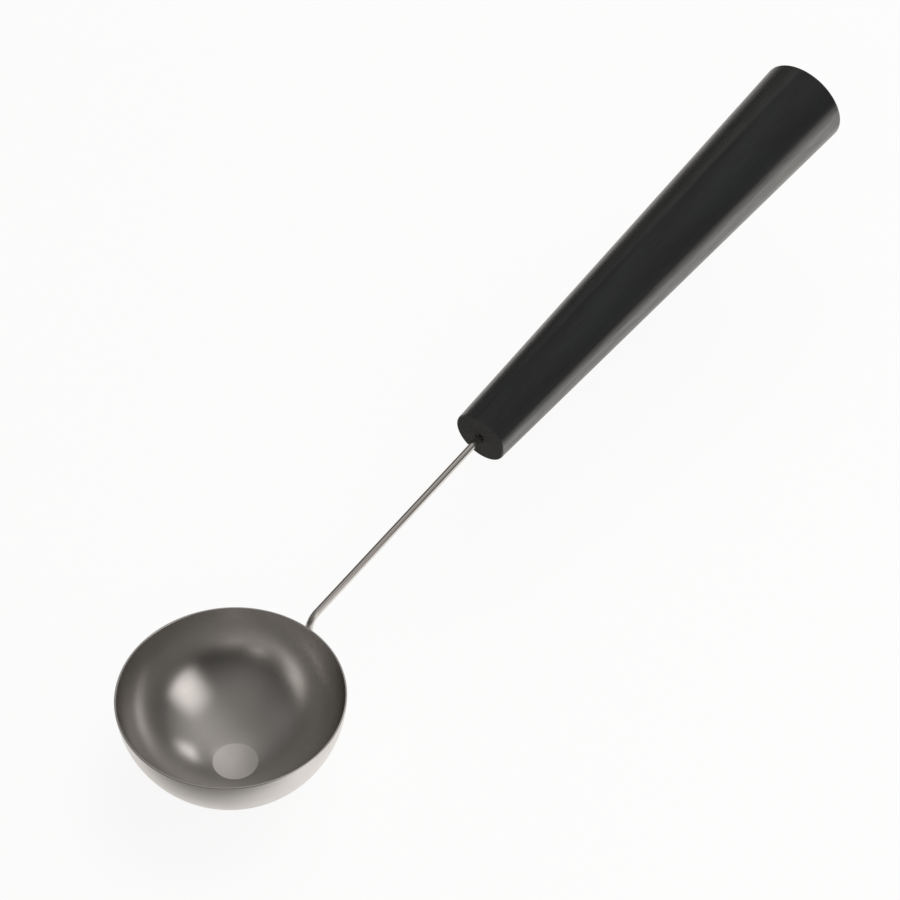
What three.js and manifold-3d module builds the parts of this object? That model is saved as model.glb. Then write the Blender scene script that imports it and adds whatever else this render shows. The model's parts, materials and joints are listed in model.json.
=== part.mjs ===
// Sauna ladle: a pressed steel bowl, a bent steel stem welded to its wall, and a turned black grip.
// Millimetres, +Z up. The origin is the centre of the bowl's flat underside, and the handle runs along +X.

import * as THREE from 'three';
import { mergeVertices } from 'three/addons/utils/BufferGeometryUtils.js';
import Module from 'manifold-3d';

// Bowl: part of a spherical shell, pressed flat at the bottom and cut off just below the sphere's centre
const RIM_RADIUS = 45; // outside of the lip
const RIM_BELOW_CENTRE = 1.9; // from the sphere's centre down to the lip
const WALL = 0.8; // sheet thickness
const FLOOR_RADIUS = 9; // flat disc inside the bowl
const LIP_ROUND = 0.3; // both edges of the lip

// Stem: one wire with a leg along the bowl's wall, a bend, a straight shank and a tang inside the grip
const STEM_RADIUS = 1.5;
const STEM_RISE = 0.9; // shank's axis above the lip, straight over the lip's outer edge
const SHANK_SLOPE = THREE.MathUtils.degToRad(7.9); // shank's climb from the level of the lip
const BEND_RADIUS = 6; // to the wire's axis
const LEG_DROP = 14; // from the lip down to the end of the leg
const SHANK_LENGTH = 111; // from over the lip's outer edge to the grip
const TANG_LENGTH = 60; // inside the grip

// Welds: one fillet on each side of the leg
const WELD_RADIUS = 1.4; // half width at the middle of the bead
const WELD_LENGTH = 11; // along the leg
const WELD_BELOW_LIP = 7.5; // from the lip down to the middle of the bead

// Grip: a straight taper with flat ends and a blind bore for the tang
const GRIP_LENGTH = 229;
const GRIP_SLOPE = THREE.MathUtils.degToRad(6.2); // climb of the grip, and of the tang in it
const GRIP_NECK_RADIUS = 11.95; // end beside the stem
const GRIP_BUTT_RADIUS = 19.7; // free end
const GRIP_EDGE_ROUND = 0.8;

// Bond: cured adhesive round the tang and behind its end
const BOND_THICKNESS = 0.4;
const BOND_RECESS = 0.6; // below the grip's end face

// Clearance between pieces that are joined
const FIT = 0.3;

// Facets
const BOWL_SIDES = 64;
const BOWL_ARC_STEPS = 16;
const GRIP_SIDES = 64;
const EDGE_ARC_STEPS = 3;
const WIRE_SIDES = 20;
const BEND_STEPS = 12;
const LEG_STEPS = 6;
const BEAD_SIDES = 20;
const BEAD_RINGS = 16;
const CUTTER_SIDES = 128;
const CUTTER_RINGS = 64;

// Places that follow from the sizes
const SPHERE_RADIUS = Math.hypot(RIM_RADIUS, RIM_BELOW_CENTRE); // outside
const INNER_RADIUS = SPHERE_RADIUS - WALL;
const CENTRE_HEIGHT = Math.sqrt(INNER_RADIUS ** 2 - FLOOR_RADIUS ** 2) + WALL;
const RIM_HEIGHT = CENTRE_HEIGHT - RIM_BELOW_CENTRE;
const LEG_RADIUS = SPHERE_RADIUS + FIT + STEM_RADIUS; // wire's axis, from the sphere's centre
const BOND_RADIUS = STEM_RADIUS + FIT + BOND_THICKNESS;
const BORE_RADIUS = BOND_RADIUS + FIT;
const BOND_END = TANG_LENGTH + FIT + BOND_THICKNESS; // from the grip's end face
const BORE_DEPTH = BOND_END + FIT;

const STEEL = new THREE.MeshStandardMaterial({ color: 0xb5b0a8, metalness: 1, roughness: 0.38 });
const WIRE_STEEL = new THREE.MeshStandardMaterial({ color: 0xbebbb4, metalness: 1, roughness: 0.25 });
const WELD_STEEL = new THREE.MeshStandardMaterial({ color: 0x9a958d, metalness: 1, roughness: 0.5 });
const BLACK_WOOD = new THREE.MeshStandardMaterial({ color: 0x2b2a28, metalness: 0, roughness: 0.45 });
const ADHESIVE = new THREE.MeshStandardMaterial({ color: 0x3a362f, metalness: 0, roughness: 0.6 });

const wasm = await Module();
wasm.setup();

// Solid for cutting, from a closed geometry
function toSolid(geometry) {
  const bare = geometry.clone();
  bare.deleteAttribute('normal');
  bare.deleteAttribute('uv');
  const merged = mergeVertices(bare);
  const vertProperties = new Float32Array(merged.attributes.position.array);
  const triVerts = new Uint32Array(merged.index.array);
  return new wasm.Manifold(new wasm.Mesh({ numProp: 3, vertProperties, triVerts }));
}

// Geometry of a cut solid
function toGeometry(solid) {
  const { vertProperties, triVerts } = solid.getMesh();
  const geometry = new THREE.BufferGeometry();
  geometry.setAttribute('position', new THREE.BufferAttribute(vertProperties, 3));
  geometry.setIndex(new THREE.BufferAttribute(triVerts, 1));
  geometry.computeVertexNormals();
  return geometry;
}

// Points of an arc in a profile, from one angle to another
function arcPoints(x, y, radius, from, to, steps) {
  return new THREE.EllipseCurve(x, y, radius, radius, from, to, to < from).getPoints(steps);
}

// Solid of revolution about Z, from a profile of radius and height
function turned(profile, sides) {
  return new THREE.LatheGeometry(profile, sides).rotateX(Math.PI / 2);
}

// Path in the plane y = 0 along joined curves, each taking its own number of steps
class SteppedPath extends THREE.Curve {
  constructor(runs) {
    super();
    const stationsOf = ({ curve, steps }) => Array.from({ length: steps }, (_, i) => [curve, i / steps]);
    this.stations = [...runs.flatMap(stationsOf), [runs.at(-1).curve, 1]];
    this.steps = this.stations.length - 1;
  }

  at(u, read) {
    const [curve, t] = this.stations[Math.round(u * this.steps)];
    const { x, y } = read(curve, t);
    return new THREE.Vector3(x, 0, y);
  }

  getPointAt(u) {
    return this.at(u, (curve, t) => curve.getPoint(t));
  }

  getTangentAt(u) {
    return this.at(u, (curve, t) => curve.getTangent(t));
  }
}

// Closed round bar along a stepped path
function bar(path, radius) {
  const section = new THREE.Shape(arcPoints(0, 0, radius, 0, 2 * Math.PI, WIRE_SIDES).slice(0, -1));
  return new THREE.ExtrudeGeometry(section, { steps: path.steps, extrudePath: path, bevelEnabled: false });
}

// Bowl: floor, outer wall, lip, inner wall and inner floor in one outline
function bowlGeometry() {
  const lipStart = RIM_HEIGHT - LIP_ROUND;
  const wallAngle = (radius, height) => Math.asin((height - CENTRE_HEIGHT) / radius);
  const radiusAt = (radius, height) => Math.sqrt(radius ** 2 - (height - CENTRE_HEIGHT) ** 2);
  const outerFoot = wallAngle(SPHERE_RADIUS, 0);
  const outerTop = wallAngle(SPHERE_RADIUS, lipStart);
  const innerTop = wallAngle(INNER_RADIUS, lipStart);
  const innerFoot = wallAngle(INNER_RADIUS, WALL);
  const outerLip = radiusAt(SPHERE_RADIUS, lipStart) - LIP_ROUND;
  const innerLip = radiusAt(INNER_RADIUS, lipStart) + LIP_ROUND;
  const profile = [
    new THREE.Vector2(0, 0),
    ...arcPoints(0, CENTRE_HEIGHT, SPHERE_RADIUS, outerFoot, outerTop, BOWL_ARC_STEPS),
    ...arcPoints(outerLip, lipStart, LIP_ROUND, 0, Math.PI / 2, EDGE_ARC_STEPS).slice(1),
    ...arcPoints(innerLip, lipStart, LIP_ROUND, Math.PI / 2, Math.PI, EDGE_ARC_STEPS).slice(0, -1),
    ...arcPoints(0, CENTRE_HEIGHT, INNER_RADIUS, innerTop, innerFoot, BOWL_ARC_STEPS),
    new THREE.Vector2(0, WALL),
  ];
  return turned(profile, BOWL_SIDES);
}

// Directions and places of the stem's axis in the plane of radius and height
const along = new THREE.Vector2(Math.cos(SHANK_SLOPE), Math.sin(SHANK_SLOPE));
const below = new THREE.Vector2(Math.sin(SHANK_SLOPE), -Math.cos(SHANK_SLOPE));
const alongGrip = new THREE.Vector2(Math.cos(GRIP_SLOPE), Math.sin(GRIP_SLOPE));
const centre = new THREE.Vector2(0, CENTRE_HEIGHT);
const overLip = new THREE.Vector2(RIM_RADIUS, RIM_HEIGHT + STEM_RISE);
const onShank = (distance) => overLip.clone().addScaledVector(along, distance);
const neck = onShank(SHANK_LENGTH); // centre of the grip's end face

// Stem's axis from the tang's end: the tang in line with the grip, the shank, which leaves the grip a little
// steeper, a bend that touches the shank, and a leg that follows the sphere
function stemAxis() {
  const tangEnd = neck.clone().addScaledVector(alongGrip, TANG_LENGTH);
  const reach = LEG_RADIUS + BEND_RADIUS;
  const start = overLip.clone().addScaledVector(below, BEND_RADIUS).sub(centre);
  const run = start.dot(along);
  const bendStart = -run + Math.sqrt(run ** 2 - start.lengthSq() + reach ** 2);
  const bendCentre = onShank(bendStart).addScaledVector(below, BEND_RADIUS);
  const legTop = Math.atan2(bendCentre.y - centre.y, bendCentre.x - centre.x);
  const legEnd = Math.asin((RIM_HEIGHT - LEG_DROP - CENTRE_HEIGHT) / LEG_RADIUS);
  const bendFrom = Math.PI / 2 + SHANK_SLOPE;
  const bendTo = Math.PI + legTop;
  const { x, y } = bendCentre;
  const bend = new THREE.EllipseCurve(x, y, BEND_RADIUS, BEND_RADIUS, bendFrom, bendTo);
  const leg = new THREE.EllipseCurve(0, CENTRE_HEIGHT, LEG_RADIUS, LEG_RADIUS, legTop, legEnd, true);
  return new SteppedPath([
    { curve: new THREE.LineCurve(tangEnd, neck), steps: 1 },
    { curve: new THREE.LineCurve(neck, onShank(bendStart)), steps: 1 },
    { curve: bend, steps: BEND_STEPS },
    { curve: leg, steps: LEG_STEPS },
  ]);
}

// Weld: a bead lying in the notch between the leg and the wall, cut clear of both
function weldGeometry(side, axis) {
  const turn = Math.asin((RIM_HEIGHT - WELD_BELOW_LIP - CENTRE_HEIGHT) / LEG_RADIUS);
  const seat = SPHERE_RADIUS + FIT;
  const bead = new THREE.SphereGeometry(WELD_RADIUS, BEAD_SIDES, BEAD_RINGS);
  bead.scale(1, WELD_LENGTH / (2 * WELD_RADIUS), 1);
  bead.rotateX(Math.PI / 2);
  bead.translate(seat, side * (STEM_RADIUS + FIT), 0);
  bead.rotateY(-turn);
  bead.translate(0, 0, CENTRE_HEIGHT);
  const wall = new THREE.SphereGeometry(seat, CUTTER_SIDES, CUTTER_RINGS).translate(0, 0, CENTRE_HEIGHT);
  const wire = bar(axis, STEM_RADIUS + FIT);
  return toGeometry(toSolid(bead).subtract(toSolid(wall)).subtract(toSolid(wire)));
}

// Grip: blind bore, end face, taper and butt in one outline, along Z from the end face
function gripGeometry() {
  const taper = Math.atan2(GRIP_BUTT_RADIUS - GRIP_NECK_RADIUS, GRIP_LENGTH);
  const neckEdge = GRIP_NECK_RADIUS - GRIP_EDGE_ROUND;
  const buttEdge = GRIP_BUTT_RADIUS - GRIP_EDGE_ROUND;
  const buttStart = GRIP_LENGTH - GRIP_EDGE_ROUND;
  const profile = [
    new THREE.Vector2(0, BORE_DEPTH),
    new THREE.Vector2(BORE_RADIUS, BORE_DEPTH),
    new THREE.Vector2(BORE_RADIUS, 0),
    ...arcPoints(neckEdge, GRIP_EDGE_ROUND, GRIP_EDGE_ROUND, -Math.PI / 2, -taper, EDGE_ARC_STEPS),
    ...arcPoints(buttEdge, buttStart, GRIP_EDGE_ROUND, -taper, Math.PI / 2, EDGE_ARC_STEPS),
    new THREE.Vector2(0, GRIP_LENGTH),
  ];
  return turned(profile, GRIP_SIDES);
}

// Bond: a thin cup round the tang, open towards the bowl
function bondGeometry() {
  const profile = [
    new THREE.Vector2(0, TANG_LENGTH + FIT),
    new THREE.Vector2(STEM_RADIUS + FIT, TANG_LENGTH + FIT),
    new THREE.Vector2(STEM_RADIUS + FIT, BOND_RECESS),
    new THREE.Vector2(BOND_RADIUS, BOND_RECESS),
    new THREE.Vector2(BOND_RADIUS, BOND_END),
    new THREE.Vector2(0, BOND_END),
  ];
  return turned(profile, WIRE_SIDES);
}

function piece(name, geometry, material) {
  const mesh = new THREE.Mesh(geometry, material);
  mesh.name = name;
  return mesh;
}

const axis = stemAxis();
const ladle = new THREE.Group();
ladle.add(
  piece('bowl', bowlGeometry(), STEEL),
  piece('stem', bar(axis, STEM_RADIUS), WIRE_STEEL),
  piece('weld_left', weldGeometry(1, axis), WELD_STEEL),
  piece('weld_right', weldGeometry(-1, axis), WELD_STEEL),
);

// The grip and its bond lie along the tang
const handle = new THREE.Group();
handle.position.set(neck.x, 0, neck.y);
handle.rotation.y = Math.PI / 2 - GRIP_SLOPE;
handle.add(piece('grip', gripGeometry(), BLACK_WOOD), piece('bond_sleeve', bondGeometry(), ADHESIVE));
ladle.add(handle);

export default ladle;
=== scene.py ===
"""Dresses the sauna ladle: a satin steel bowl, its bent wire stem, two welds, and a black wooden grip.

Sizes are millimetres until a mesh is written in metres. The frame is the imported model's own: the bowl stands
on its flat base at the origin, +Z is up, and the handle runs along +X in the plane y = 0.
"""

import json
import logging
import math
from dataclasses import dataclass
from enum import Enum
from typing import ClassVar

import bpy
import numpy as np
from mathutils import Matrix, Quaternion, Vector

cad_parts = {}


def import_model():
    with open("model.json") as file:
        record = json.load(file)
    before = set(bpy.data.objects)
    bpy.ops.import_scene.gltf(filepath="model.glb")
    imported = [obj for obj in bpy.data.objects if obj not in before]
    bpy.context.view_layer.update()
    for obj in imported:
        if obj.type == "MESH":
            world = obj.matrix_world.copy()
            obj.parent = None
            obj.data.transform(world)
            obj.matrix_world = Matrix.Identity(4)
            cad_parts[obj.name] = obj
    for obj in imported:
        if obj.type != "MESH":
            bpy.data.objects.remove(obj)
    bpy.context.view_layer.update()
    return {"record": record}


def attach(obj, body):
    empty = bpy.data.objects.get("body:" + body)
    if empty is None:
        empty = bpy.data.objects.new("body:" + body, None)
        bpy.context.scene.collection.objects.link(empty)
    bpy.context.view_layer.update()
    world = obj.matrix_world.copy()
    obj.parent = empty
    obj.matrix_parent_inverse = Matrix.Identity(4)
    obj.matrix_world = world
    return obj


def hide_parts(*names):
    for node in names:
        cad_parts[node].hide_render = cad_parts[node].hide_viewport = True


log = logging.getLogger("sauna_ladle")

MM = 0.001
TURN = 2.0 * math.pi
QUARTER = 0.25 * TURN
# Points nearer than this, in millimetres, are one point.
SAME_POINT = 1e-5
# The least slope at which a weld's ray still meets the bowl's wall.
NEARLY_LEVEL = 1e-6
BODY = "root"
LOCAL = "local"
WHITE = "#ffffff"
WARM_WHITE = "#fffaf5"
BLACK = "#000000"

# A Mix node's inputs share their names, so they go by number: its share, two numbers and two colours.
SHARE, NUMBER_A, NUMBER_B, COLOUR_A, COLOUR_B = 0, 2, 3, 6, 7
MIXED_COLOUR = 2

Array = np.ndarray
Tree = bpy.types.NodeTree
Socket = bpy.types.NodeSocket
Value = float | tuple | Socket


class Slot(Enum):
    """The record's material slots."""

    BOWL_STEEL = "bowl_steel"
    WIRE_STEEL = "wire_steel"
    WELD_STEEL = "weld_steel"
    BLACK_WOOD = "black_wood"
    ADHESIVE = "adhesive"


class Side(Enum):
    """The side of the stem that a weld lies on, as the sign of its y."""

    LEFT = 1
    RIGHT = -1


class Ends(Enum):
    """How the first and last rows of a grid are closed."""

    POLES = "each is one point"
    JOINED = "the last row joins the first"


class Detail(Enum):
    """How many finer octaves a noise pattern gets."""

    NONE = 0.0
    SOME = 2.0
    FINE = 3.0


# Shapes as whole arrays


@dataclass(frozen=True)
class Axis:
    """A line in space with two directions square to it.

    Attributes:
        origin: where the line starts, in millimetres.
        along: unit direction of the line.
        across: unit direction from which angles round the line are measured.
    """

    origin: Array
    along: Array
    across: Array

    @classmethod
    def in_plane(cls, origin: Array, along: Array) -> "Axis":
        """A line in the plane y = 0, whose across points to the upper side of the line."""
        return cls(origin, along, np.array([-along[2], 0.0, along[0]]))

    @property
    def side(self) -> Array:
        """The third direction, square to the other two."""
        return np.cross(self.along, self.across)


UPRIGHT = Axis(np.zeros(3), np.array([0.0, 0.0, 1.0]), np.array([1.0, 0.0, 0.0]))


@dataclass(frozen=True)
class Grid:
    """Points on a grid whose columns close on themselves.

    Attributes:
        places: rows by columns by 3, in millimetres, in the frame.
        local: the same points in the piece's own straight coordinates, length first, for its patterns.
        ends: how the rows are closed.
    """

    places: Array
    local: Array
    ends: Ends


def unit(vector: Array) -> Array:
    """The direction of a vector, as a vector of length 1."""
    return vector / np.linalg.norm(vector)


def around(sides: int) -> Array:
    """Angles from 0 that go once round in equal steps, in radians, without the full turn."""
    return np.arange(sides) * TURN / sides


def rays_at(angles: Array) -> Array:
    """Unit directions (cos a, 0, sin a) in the plane y = 0, one to a row."""
    return np.stack([np.cos(angles), np.zeros(len(angles)), np.sin(angles)], axis=1)


def ease(share: Array) -> Array:
    """Eases shares from 0 to 1: s^2 (3 - 2 s), and level outside."""
    share = np.clip(share, 0.0, 1.0)
    return share**2 * (3.0 - 2.0 * share)


def arc(centre: tuple[float, float], radius: float, start: float, end: float, steps: int) -> Array:
    """Points on a circle: centre + radius (cos a, sin a), where a goes evenly from start to end.

    Args:
        centre: the circle's centre.
        radius: its radius.
        start: first angle, in radians.
        end: last angle, in radians.
        steps: how many equal steps lie between them.

    Returns:
        An array of steps + 1 points.
    """
    angles = np.linspace(start, end, steps + 1)
    return np.asarray(centre) + radius * np.stack([np.cos(angles), np.sin(angles)], axis=1)


def straight(start: tuple[float, float], end: tuple[float, float], steps: int) -> Array:
    """Points on a line that crowd at both ends: start + (1 - cos(pi t)) / 2 (end - start), t from 0 to 1.

    Args:
        start: first point.
        end: last point.
        steps: how many steps lie between them.

    Returns:
        An array of steps + 1 points.
    """
    share = 0.5 - 0.5 * np.cos(np.linspace(0.0, math.pi, steps + 1))
    first = np.asarray(start)
    return first + share[:, None] * (np.asarray(end) - first)


def chain(*runs: Array) -> Array:
    """Joins runs of points end to end and drops a point that repeats the one before it.

    Args:
        runs: arrays of points, in order.

    Returns:
        One array of points.
    """
    points = np.concatenate(runs)
    step = np.linalg.norm(np.diff(points, axis=0), axis=1)
    return points[np.concatenate([[True], step > SAME_POINT])]


def lengths_along(points: Array) -> Array:
    """The distance from the first point to each point, measured along the chain of points.

    Args:
        points: points in order, one to a row.

    Returns:
        One length for each point, from 0.
    """
    step = np.linalg.norm(np.diff(points, axis=0), axis=1)
    return np.concatenate([[0.0], np.cumsum(step)])


def sweep(
    centres: Array, across: Array, side: Array, radius: Array, length: Array, sides: int, ends: Ends
) -> Grid:
    """Carries a round along a line of centres.

    The point of row i and column j is centre_i + radius_ij (cos a_j across_i + sin a_j side_i), with
    a_j = 2 pi j / sides. Its local place is (length_i, radius_ij cos a_j, radius_ij sin a_j).

    Args:
        centres: the middle of each row.
        across: direction of the first column, for each row or one for all.
        side: direction a quarter turn on, for each row or one for all.
        radius: rows by columns, or rows by 1 where it is the same all round.
        length: how far along the piece each row lies.
        sides: how many columns go round.
        ends: how the rows are closed.

    Returns:
        The grid.
    """
    cosine, sine = np.cos(around(sides)), np.sin(around(sides))
    rays = cosine[:, None] * np.atleast_2d(across)[:, None] + sine[:, None] * np.atleast_2d(side)[:, None]
    places = centres[:, None] + radius[:, :, None] * rays
    local = np.stack(np.broadcast_arrays(length[:, None], radius * cosine, radius * sine), axis=2)
    return Grid(places, local, ends)


def revolve(profile: Array, sides: int, axis: Axis, ends: Ends, by_profile: bool = False) -> Grid:
    """Carries a profile round an axis: a sweep whose centres are origin + height along.

    Args:
        profile: radius and height of each row.
        sides: how many columns go round.
        axis: what the profile turns about.
        ends: how the rows are closed.
        by_profile: measures the local length along the profile and not along the axis.

    Returns:
        The grid.
    """
    radius, height = profile[:, 0], profile[:, 1]
    centres = axis.origin + height[:, None] * axis.along
    length = lengths_along(profile) if by_profile else height
    return sweep(centres, axis.across, axis.side, radius[:, None], length, sides, ends)


def grid_faces(rows: int, columns: int, ends: Ends) -> tuple[Array, Array]:
    """Corner numbers of a grid's faces, where column j neighbours column j + 1 and the last one the first.

    With poles, the two pole points are numbered after the rows between them.

    Args:
        rows: rows of points, without poles.
        columns: points in each row.
        ends: how the rows are closed.

    Returns:
        The four-cornered faces and the three-cornered ones.
    """
    here = np.arange(rows * columns).reshape(rows, columns)
    beside = np.roll(here, -1, axis=1)
    if ends is Ends.JOINED:
        over, over_beside = np.roll(here, -1, axis=0), np.roll(beside, -1, axis=0)
        return np.stack([here, beside, over_beside, over], axis=2).reshape(-1, 4), np.zeros((0, 3), int)
    quads = np.stack([here[:-1], beside[:-1], beside[1:], here[1:]], axis=2).reshape(-1, 4)
    first = np.full(columns, rows * columns)
    fans = [
        np.stack([first, beside[0], here[0]], axis=1),
        np.stack([here[-1], beside[-1], first + 1], axis=1),
    ]
    return quads, np.concatenate(fans)


def volume(points: Array, quads: Array, fans: Array) -> float:
    """The volume inside the faces: a sixth of the sum of a . (b x c) over all triangles.

    Args:
        points: the mesh's points.
        quads: four-cornered faces.
        fans: three-cornered faces.

    Returns:
        The volume, negative if the faces point inwards.
    """
    corners = points[np.concatenate([quads[:, [0, 1, 2]], quads[:, [0, 2, 3]], fans])]
    return float(np.sum(corners[:, 0] * np.cross(corners[:, 1], corners[:, 2])) / 6.0)


def write_piece(name: str, grid: Grid, material: bpy.types.Material) -> bpy.types.Object:
    """Makes one closed, smooth mesh object from a grid, with its faces outwards.

    The local coordinates are kept as a vector attribute, in metres.

    Args:
        name: the object's name.
        grid: the points.
        material: the finish.

    Returns:
        The object, at the origin.
    """
    rows, columns = grid.places.shape[:2]
    points, local = grid.places.reshape(-1, 3), grid.local.reshape(-1, 3)
    if grid.ends is Ends.POLES:
        inner = np.arange(columns, (rows - 1) * columns)
        keep = np.concatenate([inner, [0, rows * columns - 1]])
        points, local = points[keep], local[keep]
        rows = rows - 2
    quads, fans = grid_faces(rows, columns, grid.ends)
    if volume(points, quads, fans) < 0.0:
        quads, fans = quads[:, ::-1], fans[:, ::-1]
    mesh = bpy.data.meshes.new(name)
    mesh.from_pydata((points * MM).tolist(), [], quads.tolist() + fans.tolist())
    mesh.polygons.foreach_set("use_smooth", np.ones(len(mesh.polygons), dtype=bool))
    kept = mesh.attributes.new(LOCAL, "FLOAT_VECTOR", "POINT")
    kept.data.foreach_set("vector", (local * MM).astype(np.float32).ravel())
    mesh.materials.append(material)
    mesh.update()
    piece = bpy.data.objects.new(name, mesh)
    bpy.context.scene.collection.objects.link(piece)
    return piece


def place_piece(piece: bpy.types.Object, slot: Slot, *nodes: str) -> None:
    """Puts a piece on the ladle's one body, in place of CAD nodes, and reports it.

    Args:
        piece: the new object.
        slot: the record's material slot of its finish; not used.
        nodes: the CAD nodes that it stands for.
    """
    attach(piece, BODY)
    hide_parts(*nodes)
    log.info("%s stands for %s: %d faces", piece.name, ", ".join(nodes), len(piece.data.polygons))


# Materials


def linear(colour: str) -> tuple[float, float, float, float]:
    """Turns an sRGB hex colour into linear light with alpha 1, by the two branches of the sRGB curve.

    Args:
        colour: such as "#c8c2ba".

    Returns:
        Red, green, blue and alpha.
    """
    srgb = np.array([int(colour[i : i + 2], 16) for i in (1, 3, 5)]) / 255.0
    light = np.where(srgb <= 0.04045, srgb / 12.92, ((srgb + 0.055) / 1.055) ** 2.4)
    return (float(light[0]), float(light[1]), float(light[2]), 1.0)


def add_node(
    tree: Tree,
    kind: str,
    inputs: dict[str | int, Value] | tuple[Value, ...] = (),
    **settings: object,
) -> bpy.types.NodeOutputs:
    """Adds one shader node with its settings, values and links.

    Args:
        tree: the node tree that takes it.
        kind: the node's type, without the leading ShaderNode.
        inputs: values, or the outputs that feed the inputs: in order, or by the input's name or number.
        settings: the node's own properties.

    Returns:
        The node's outputs.
    """
    node = tree.nodes.new("ShaderNode" + kind)
    for name, setting in settings.items():
        setattr(node, name, setting)
    for key, value in inputs.items() if isinstance(inputs, dict) else enumerate(inputs):
        if isinstance(value, Socket):
            tree.links.new(value, node.inputs[key])
        else:
            node.inputs[key].default_value = value
    return node.outputs


def per_mm(*sizes: float) -> tuple[float, ...]:
    """Scales that make one unit of a pattern as long as each size in millimetres."""
    return tuple(1.0 / (size * MM) for size in sizes)


def toward(azimuth: float, elevation: float) -> Vector:
    """Unit direction at an azimuth from +X towards +Y and an elevation, both in degrees."""
    a, e = math.radians(azimuth), math.radians(elevation)
    return Vector((math.cos(e) * math.cos(a), math.cos(e) * math.sin(a), math.sin(e)))


def grains(tree: Tree, place: Socket, sizes: tuple[float, float, float], detail: Detail) -> Socket:
    """A pattern of grains of one size along each axis: noise of the place divided by the sizes.

    Args:
        tree: the material's nodes.
        place: the point, in metres.
        sizes: the grains' sizes, in millimetres.
        detail: how much finer noise is added.

    Returns:
        The pattern, which lies round one half.
    """
    divided = add_node(tree, "Mapping", {"Vector": place, "Scale": per_mm(*sizes)})[0]
    return add_node(tree, "TexNoise", {"Vector": divided, "Scale": 1.0, "Detail": detail.value})[0]


def two_tones(
    tree: Tree, pattern: Socket, first: str, second: str, span: tuple[float, float] = (0.0, 1.0)
) -> Socket:
    """Colours a pattern, from one colour at the low end of a span of values to another at its high end.

    Args:
        tree: the material's nodes.
        pattern: the values.
        first: sRGB hex colour at the low end.
        second: sRGB hex colour at the high end.
        span: lowest and highest value.

    Returns:
        The colour.
    """
    share = add_node(tree, "MapRange", (pattern, *span))[0]
    colours = {SHARE: share, COLOUR_A: linear(first), COLOUR_B: linear(second)}
    return add_node(tree, "Mix", colours, data_type="RGBA")[MIXED_COLOUR]


class Finish:
    """What all finishes share: a material with the finish's name, and its shader at the output."""

    name: ClassVar[str]

    def material(self) -> bpy.types.Material:
        """Makes the material.

        Returns:
            The material, ready for a mesh.
        """
        material = bpy.data.materials.new(self.name)
        material.use_nodes = True
        tree = material.node_tree
        tree.nodes.clear()
        add_node(tree, "OutputMaterial", {"Surface": self.shader(tree)})
        return material

    def shader(self, tree: Tree) -> Socket:
        """Builds the nodes in the material's tree and gives the shader. Each finish has its own."""
        raise NotImplementedError


@dataclass(frozen=True)
class SatinSteel(Finish):
    """Stainless steel sheet, pressed to a bowl and brushed to a satin face as it turned.

    It gives the eye soft, blurred reflections in a nearly neutral grey, faint rings round the bowl's axis,
    a little cloudiness where the brushing was uneven, and reflections that waver where the press left the
    sheet uneven. Real brushing lines are about 0.05 mm apart, too fine to show, so the rings are drawn
    coarser.
    """

    name: ClassVar[str] = "satin_brushed_stainless_steel"
    bright: str = "#e2e0de"
    dull: str = "#dad8d6"
    ring_spacing: float = 1.1
    ring_reach: float = 60.0
    ring_share: float = 0.45
    cloud_size: float = 15.0
    span: tuple[float, float] = (0.45, 1.0)
    smoothest: float = 0.2
    roughest: float = 0.24
    wave_height: float = 0.05

    def shader(self, tree: Tree) -> Socket:
        """Rings and clouds together give the tone and the roughness, and slow waves give the bump.

        Args:
            tree: the material's nodes.

        Returns:
            The shader.
        """
        local = add_node(tree, "Attribute", attribute_name=LOCAL)["Vector"]
        place = add_node(tree, "TexCoord")["Object"]
        cloud = (self.cloud_size,) * 3
        rings = grains(tree, local, (self.ring_spacing, self.ring_reach, self.ring_reach), Detail.SOME)
        clouds = grains(tree, place, cloud, Detail.FINE)
        brushed = add_node(tree, "Math", (rings, self.ring_share, clouds), operation="MULTIPLY_ADD")[0]
        roughness = add_node(tree, "MapRange", (brushed, *self.span, self.smoothest, self.roughest))[0]
        waves = grains(tree, place, cloud, Detail.NONE)
        inputs = {
            "Base Color": two_tones(tree, brushed, self.bright, self.dull, self.span),
            "Metallic": 1.0,
            "Roughness": roughness,
            "Normal": add_node(tree, "Bump", {"Height": waves, "Distance": self.wave_height * MM})[0],
        }
        return add_node(tree, "BsdfPrincipled", inputs)[0]


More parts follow.
